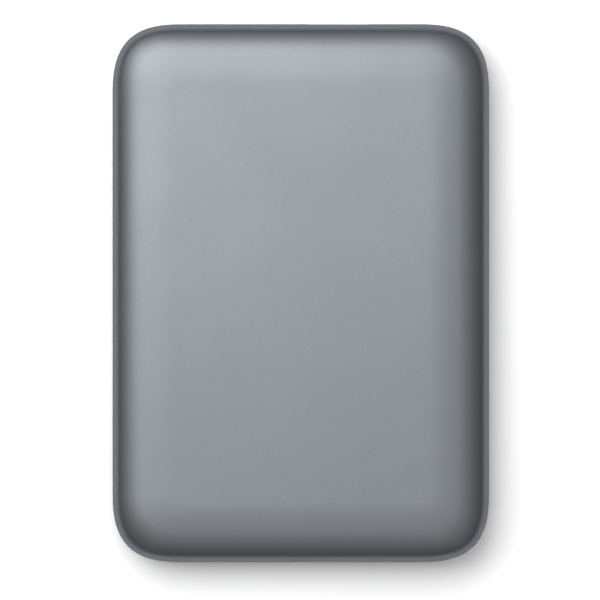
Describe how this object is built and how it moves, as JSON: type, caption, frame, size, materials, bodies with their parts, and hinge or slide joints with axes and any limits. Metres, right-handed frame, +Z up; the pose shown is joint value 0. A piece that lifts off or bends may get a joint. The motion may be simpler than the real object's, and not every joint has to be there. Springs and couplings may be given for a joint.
{
  "type": "portable external hard drive",
  "caption": "Portable external hard drive: pillow-topped two-shell case on rubber feet round a small disc drive with turning platter and swinging head arm.",
  "frame": {"origin": "on the surface the drive rests on, under the middle of the case's width and length", "axes": "+Z up through the crowned cover, +Y along the length towards the port end, +X to the right seen from above"},
  "size_m": [0.08, 0.1142, 0.0148],
  "materials": {
    "case_cover": "satin moulded, fine grain",
    "case_tray": "satin moulded",
    "rubber": "matt",
    "connector_steel": "nickel plated",
    "black_plastic": "moulded",
    "gold_contacts": "plated",
    "clear_lens": "clear moulded",
    "light_body": "white",
    "circuit_board": "solder mask",
    "chips": "moulded epoxy",
    "board_parts": "mixed small parts",
    "foil": "foil",
    "cast_base": "cast and machined",
    "pressed_steel": "plated",
    "gasket": "foam",
    "screws": "dark plated",
    "bearing_bronze": "turned",
    "laminated_steel": "stacked sheet",
    "copper_wire": "enamelled wire",
    "ground_steel": "ground",
    "turned_aluminium": "machined",
    "magnets": "nickel plated",
    "platter_surface": "polished",
    "head_ceramic": "lapped",
    "ramp_plastic": "moulded",
    "flex_film": "polyimide film",
    "filter_felt": "felt"
  },
  "bodies": {
    "case_and_drive": {"top_cover": "case_cover", "bottom_tray": "case_tray", "foot_front_left": "rubber", "foot_front_right": "rubber", "foot_rear_left": "rubber", "foot_rear_right": "rubber", "bumper_front_left": "rubber", "bumper_front_right": "rubber", "bumper_rear_left": "rubber", "bumper_rear_right": "rubber", "port_shell": "connector_steel", "port_tongues": "black_plastic", "port_contacts": "gold_contacts", "light_pipe": "clear_lens", "activity_light": "light_body", "bridge_board": "circuit_board", "bridge_chip": "chips", "bridge_small_parts": "board_parts", "board_socket": "black_plastic", "board_socket_contacts": "gold_contacts", "shield_foil": "foil", "drive_base": "cast_base", "drive_cover": "pressed_steel", "cover_gasket": "gasket", "cover_screws": "screws", "drive_board": "circuit_board", "controller_chip": "chips", "motor_chip": "chips", "memory_chip": "chips", "drive_board_screws": "screws", "drive_plug": "black_plastic", "drive_plug_contacts": "gold_contacts", "spindle_sleeve": "bearing_bronze", "stator_core": "laminated_steel", "stator_coils": "copper_wire", "pivot_shaft": "ground_steel", "pivot_balls": "ground_steel", "parking_ramp": "ramp_plastic", "lower_yoke": "pressed_steel", "upper_yoke": "pressed_steel", "lower_magnet": "magnets", "upper_magnet": "magnets", "crash_stops": "rubber", "head_flex": "flex_film", "flex_bracket": "black_plastic", "air_filter": "filter_felt"},
    "disc_stack": {"spindle_shaft": "ground_steel", "spindle_hub": "turned_aluminium", "rotor_magnet": "magnets", "platter": "platter_surface", "disc_clamp": "pressed_steel", "clamp_screws": "screws"},
    "arm_assembly": {"pivot_housing": "ground_steel", "head_arm": "turned_aluminium", "coil_frame": "black_plastic", "voice_coil": "copper_wire", "upper_suspension": "ground_steel", "lower_suspension": "ground_steel", "upper_head": "head_ceramic", "lower_head": "head_ceramic"}
  },
  "joints": [
    {"name": "spindle_turn", "type": "hinge", "parent": "case_and_drive", "child": "disc_stack", "pos_m": [0, -0.0182, 0.008], "axis": [0, 0, 1], "continuous": true},
    {"name": "arm_swing", "type": "hinge", "parent": "case_and_drive", "child": "arm_assembly", "pos_m": [0.0155, 0.01698, 0.008], "axis": [0, 0, 1], "range_deg": [0, 37]}
  ]
}
